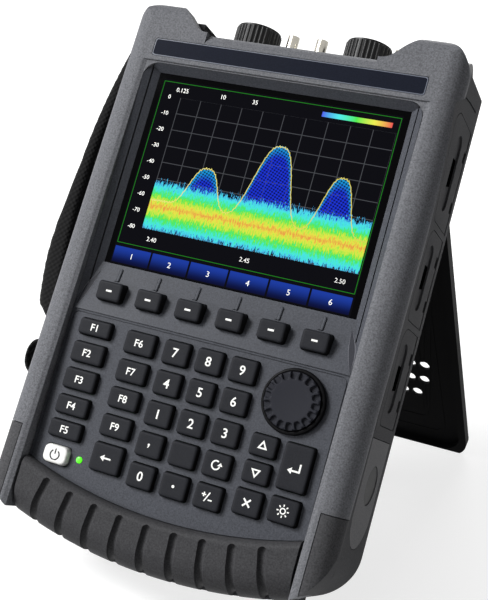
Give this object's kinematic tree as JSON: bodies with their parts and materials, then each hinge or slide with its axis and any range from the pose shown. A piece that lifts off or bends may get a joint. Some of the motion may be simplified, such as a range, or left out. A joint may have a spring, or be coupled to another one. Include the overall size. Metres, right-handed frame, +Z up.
{
  "type": "handheld spectrum analyzer",
  "caption": "Rugged handheld spectrum analyzer leaning on a kickstand: sloped screen frame, key field, turning knob, capped top ports, side doors and padded hand strap.",
  "frame": {"origin": "middle of the flat land under the rear edge of the case foot, on the table", "axes": "+Z up, -Y towards the user and the screen side, +X to the right of the screen"},
  "size_m": [0.208, 0.2636, 0.2739],
  "materials": {
    "case_plastic": "fine grained moulded case",
    "panel_paint": "fine grained bluish grey",
    "bumper_rubber": "satin moulded rubber",
    "key_rubber": "satin moulded rubber",
    "white_key": "satin white",
    "lens": "clear hard coat over black",
    "module_metal": "plain sheet",
    "board": "solder mask",
    "connector_metal": "plated",
    "battery": "plain wrap",
    "strap_fabric": "woven padded sleeve",
    "black_plastic": "satin black",
    "screw_steel": "plain",
    "led": "lit green"
  },
  "bodies": {
    "case": {"front_case": "case_plastic", "rear_case": "case_plastic", "front_panel": "panel_paint", "bottom_bumper": "bumper_rubber", "display_lens": "lens", "display_module": "module_metal", "main_board": "board", "keypad_board": "board", "top_connectors": "connector_metal", "battery_pack": "battery", "hand_strap": "strap_fabric", "strap_anchors": "black_plastic", "case_screws": "screw_steel", "power_led": "led"},
    "knob": {"knob": "black_plastic"},
    "dust_cap_left": {"dust_cap_left": "black_plastic"},
    "dust_cap_right": {"dust_cap_right": "black_plastic"},
    "door_upper": {"door_upper": "case_plastic"},
    "door_middle": {"door_middle": "case_plastic"},
    "door_lower": {"door_lower": "case_plastic"},
    "battery_door": {"battery_door": "case_plastic"},
    "battery_latch": {"battery_latch": "bumper_rubber"},
    "kickstand": {"kickstand": "black_plastic"},
    "soft_key_1": {"soft_key_1": "key_rubber"},
    "soft_key_2": {"soft_key_2": "key_rubber"},
    "soft_key_3": {"soft_key_3": "key_rubber"},
    "soft_key_4": {"soft_key_4": "key_rubber"},
    "soft_key_5": {"soft_key_5": "key_rubber"},
    "soft_key_6": {"soft_key_6": "key_rubber"},
    "key_fn_1": {"key_fn_1": "key_rubber"},
    "key_fn_2": {"key_fn_2": "key_rubber"},
    "key_fn_3": {"key_fn_3": "key_rubber"},
    "key_fn_4": {"key_fn_4": "key_rubber"},
    "key_fn_5": {"key_fn_5": "key_rubber"},
    "key_fn_6": {"key_fn_6": "key_rubber"},
    "key_fn_7": {"key_fn_7": "key_rubber"},
    "key_fn_8": {"key_fn_8": "key_rubber"},
    "key_fn_9": {"key_fn_9": "key_rubber"},
    "key_power": {"key_power": "white_key"},
    "key_back": {"key_back": "key_rubber"},
    "key_0": {"key_0": "key_rubber"},
    "key_1": {"key_1": "key_rubber"},
    "key_2": {"key_2": "key_rubber"},
    "key_3": {"key_3": "key_rubber"},
    "key_4": {"key_4": "key_rubber"},
    "key_5": {"key_5": "key_rubber"},
    "key_6": {"key_6": "key_rubber"},
    "key_7": {"key_7": "key_rubber"},
    "key_8": {"key_8": "key_rubber"},
    "key_9": {"key_9": "key_rubber"},
    "key_comma": {"key_comma": "key_rubber"},
    "key_blank": {"key_blank": "key_rubber"},
    "key_preset": {"key_preset": "key_rubber"},
    "key_dot": {"key_dot": "key_rubber"},
    "key_sign": {"key_sign": "key_rubber"},
    "key_up": {"key_up": "key_rubber"},
    "key_down": {"key_down": "key_rubber"},
    "key_enter": {"key_enter": "key_rubber"},
    "key_escape": {"key_escape": "key_rubber"},
    "key_backlight": {"key_backlight": "key_rubber"}
  },
  "joints": [
    {"name": "soft_key_1_press", "type": "slide", "parent": "case", "child": "soft_key_1", "axis": [0, 0.866, -0.5], "range_m": [0, 0.0012], "stiffness_N_per_m": 350},
    {"name": "soft_key_2_press", "type": "slide", "parent": "case", "child": "soft_key_2", "axis": [0, 0.866, -0.5], "range_m": [0, 0.0012], "stiffness_N_per_m": 350},
    {"name": "soft_key_3_press", "type": "slide", "parent": "case", "child": "soft_key_3", "axis": [0, 0.866, -0.5], "range_m": [0, 0.0012], "stiffness_N_per_m": 350},
    {"name": "soft_key_4_press", "type": "slide", "parent": "case", "child": "soft_key_4", "axis": [0, 0.866, -0.5], "range_m": [0, 0.0012], "stiffness_N_per_m": 350},
    {"name": "soft_key_5_press", "type": "slide", "parent": "case", "child": "soft_key_5", "axis": [0, 0.866, -0.5], "range_m": [0, 0.0012], "stiffness_N_per_m": 350},
    {"name": "soft_key_6_press", "type": "slide", "parent": "case", "child": "soft_key_6", "axis": [0, 0.866, -0.5], "range_m": [0, 0.0012], "stiffness_N_per_m": 350},
    {"name": "key_fn_1_press", "type": "slide", "parent": "case", "child": "key_fn_1", "axis": [0, 0.866, -0.5], "range_m": [0, 0.0012], "stiffness_N_per_m": 350},
    {"name": "key_fn_2_press", "type": "slide", "parent": "case", "child": "key_fn_2", "axis": [0, 0.866, -0.5], "range_m": [0, 0.0012], "stiffness_N_per_m": 350},
    {"name": "key_fn_3_press", "type": "slide", "parent": "case", "child": "key_fn_3", "axis": [0, 0.866, -0.5], "range_m": [0, 0.0012], "stiffness_N_per_m": 350},
    {"name": "key_fn_4_press", "type": "slide", "parent": "case", "child": "key_fn_4", "axis": [0, 0.866, -0.5], "range_m": [0, 0.0012], "stiffness_N_per_m": 350},
    {"name": "key_fn_5_press", "type": "slide", "parent": "case", "child": "key_fn_5", "axis": [0, 0.866, -0.5], "range_m": [0, 0.0012], "stiffness_N_per_m": 350},
    {"name": "key_fn_6_press", "type": "slide", "parent": "case", "child": "key_fn_6", "axis": [0, 0.866, -0.5], "range_m": [0, 0.0012], "stiffness_N_per_m": 350},
    {"name": "key_fn_7_press", "type": "slide", "parent": "case", "child": "key_fn_7", "axis": [0, 0.866, -0.5], "range_m": [0, 0.0012], "stiffness_N_per_m": 350},
    {"name": "key_fn_8_press", "type": "slide", "parent": "case", "child": "key_fn_8", "axis": [0, 0.866, -0.5], "range_m": [0, 0.0012], "stiffness_N_per_m": 350},
    {"name": "key_fn_9_press", "type": "slide", "parent": "case", "child": "key_fn_9", "axis": [0, 0.866, -0.5], "range_m": [0, 0.0012], "stiffness_N_per_m": 350},
    {"name": "key_power_press", "type": "slide", "parent": "case", "child": "key_power", "axis": [0, 0.866, -0.5], "range_m": [0, 0.0012], "stiffness_N_per_m": 350},
    {"name": "key_back_press", "type": "slide", "parent": "case", "child": "key_back", "axis": [0, 0.866, -0.5], "range_m": [0, 0.0012], "stiffness_N_per_m": 350},
    {"name": "key_0_press", "type": "slide", "parent": "case", "child": "key_0", "axis": [0, 0.866, -0.5], "range_m": [0, 0.0012], "stiffness_N_per_m": 350},
    {"name": "key_1_press", "type": "slide", "parent": "case", "child": "key_1", "axis": [0, 0.866, -0.5], "range_m": [0, 0.0012], "stiffness_N_per_m": 350},
    {"name": "key_2_press", "type": "slide", "parent": "case", "child": "key_2", "axis": [0, 0.866, -0.5], "range_m": [0, 0.0012], "stiffness_N_per_m": 350},
    {"name": "key_3_press", "type": "slide", "parent": "case", "child": "key_3", "axis": [0, 0.866, -0.5], "range_m": [0, 0.0012], "stiffness_N_per_m": 350},
    {"name": "key_4_press", "type": "slide", "parent": "case", "child": "key_4", "axis": [0, 0.866, -0.5], "range_m": [0, 0.0012], "stiffness_N_per_m": 350},
    {"name": "key_5_press", "type": "slide", "parent": "case", "child": "key_5", "axis": [0, 0.866, -0.5], "range_m": [0, 0.0012], "stiffness_N_per_m": 350},
    {"name": "key_6_press", "type": "slide", "parent": "case", "child": "key_6", "axis": [0, 0.866, -0.5], "range_m": [0, 0.0012], "stiffness_N_per_m": 350},
    {"name": "key_7_press", "type": "slide", "parent": "case", "child": "key_7", "axis": [0, 0.866, -0.5], "range_m": [0, 0.0012], "stiffness_N_per_m": 350},
    {"name": "key_8_press", "type": "slide", "parent": "case", "child": "key_8", "axis": [0, 0.866, -0.5], "range_m": [0, 0.0012], "stiffness_N_per_m": 350},
    {"name": "key_9_press", "type": "slide", "parent": "case", "child": "key_9", "axis": [0, 0.866, -0.5], "range_m": [0, 0.0012], "stiffness_N_per_m": 350},
    {"name": "key_comma_press", "type": "slide", "parent": "case", "child": "key_comma", "axis": [0, 0.866, -0.5], "range_m": [0, 0.0012], "stiffness_N_per_m": 350},
    {"name": "key_blank_press", "type": "slide", "parent": "case", "child": "key_blank", "axis": [0, 0.866, -0.5], "range_m": [0, 0.0012], "stiffness_N_per_m": 350},
    {"name": "key_preset_press", "type": "slide", "parent": "case", "child": "key_preset", "axis": [0, 0.866, -0.5], "range_m": [0, 0.0012], "stiffness_N_per_m": 350},
    {"name": "key_dot_press", "type": "slide", "parent": "case", "child": "key_dot", "axis": [0, 0.866, -0.5], "range_m": [0, 0.0012], "stiffness_N_per_m": 350},
    {"name": "key_sign_press", "type": "slide", "parent": "case", "child": "key_sign", "axis": [0, 0.866, -0.5], "range_m": [0, 0.0012], "stiffness_N_per_m": 350},
    {"name": "key_up_press", "type": "slide", "parent": "case", "child": "key_up", "axis": [0, 0.866, -0.5], "range_m": [0, 0.0012], "stiffness_N_per_m": 350},
    {"name": "key_down_press", "type": "slide", "parent": "case", "child": "key_down", "axis": [0, 0.866, -0.5], "range_m": [0, 0.0012], "stiffness_N_per_m": 350},
    {"name": "key_enter_press", "type": "slide", "parent": "case", "child": "key_enter", "axis": [0, 0.866, -0.5], "range_m": [0, 0.0012], "stiffness_N_per_m": 350},
    {"name": "key_escape_press", "type": "slide", "parent": "case", "child": "key_escape", "axis": [0, 0.866, -0.5], "range_m": [0, 0.0012], "stiffness_N_per_m": 350},
    {"name": "key_backlight_press", "type": "slide", "parent": "case", "child": "key_backlight", "axis": [0, 0.866, -0.5], "range_m": [0, 0.0012], "stiffness_N_per_m": 350},
    {"name": "knob_turn", "type": "hinge", "parent": "case", "child": "knob", "pos_m": [0.0526, -0.00212, 0.11332], "axis": [0, -0.866, 0.5], "continuous": true},
    {"name": "dust_cap_left_lift", "type": "slide", "parent": "case", "child": "dust_cap_left", "axis": [0, 0.5, 0.866], "range_m": [0, 0.02]},
    {"name": "dust_cap_right_lift", "type": "slide", "parent": "case", "child": "dust_cap_right", "axis": [0, 0.5, 0.866], "range_m": [0, 0.02]},
    {"name": "door_upper_hinge", "type": "hinge", "parent": "case", "child": "door_upper", "pos_m": [0.088, 0.10954, 0.20173], "axis": [0, 0.5, 0.866], "range_deg": [0, 95]},
    {"name": "door_middle_hinge", "type": "hinge", "parent": "case", "child": "door_middle", "pos_m": [0.088, 0.08204, 0.1541], "axis": [0, 0.5, 0.866], "range_deg": [0, 95]},
    {"name": "door_lower_hinge", "type": "hinge", "parent": "case", "child": "door_lower", "pos_m": [0.088, 0.05604, 0.10907], "axis": [0, 0.5, 0.866], "range_deg": [0, 95]},
    {"name": "battery_door_lift", "type": "slide", "parent": "case", "child": "battery_door", "axis": [1, 0, 0], "range_m": [0, 0.03]},
    {"name": "battery_latch_press", "type": "slide", "parent": "battery_door", "child": "battery_latch", "axis": [-1, 0, 0], "range_m": [0, 0.0015], "stiffness_N_per_m": 350},
    {"name": "kickstand_hinge", "type": "hinge", "parent": "case", "child": "kickstand", "pos_m": [0, 0.12314, 0.19908], "axis": [1, 0, 0], "range_deg": [-53, 0]}
  ]
}
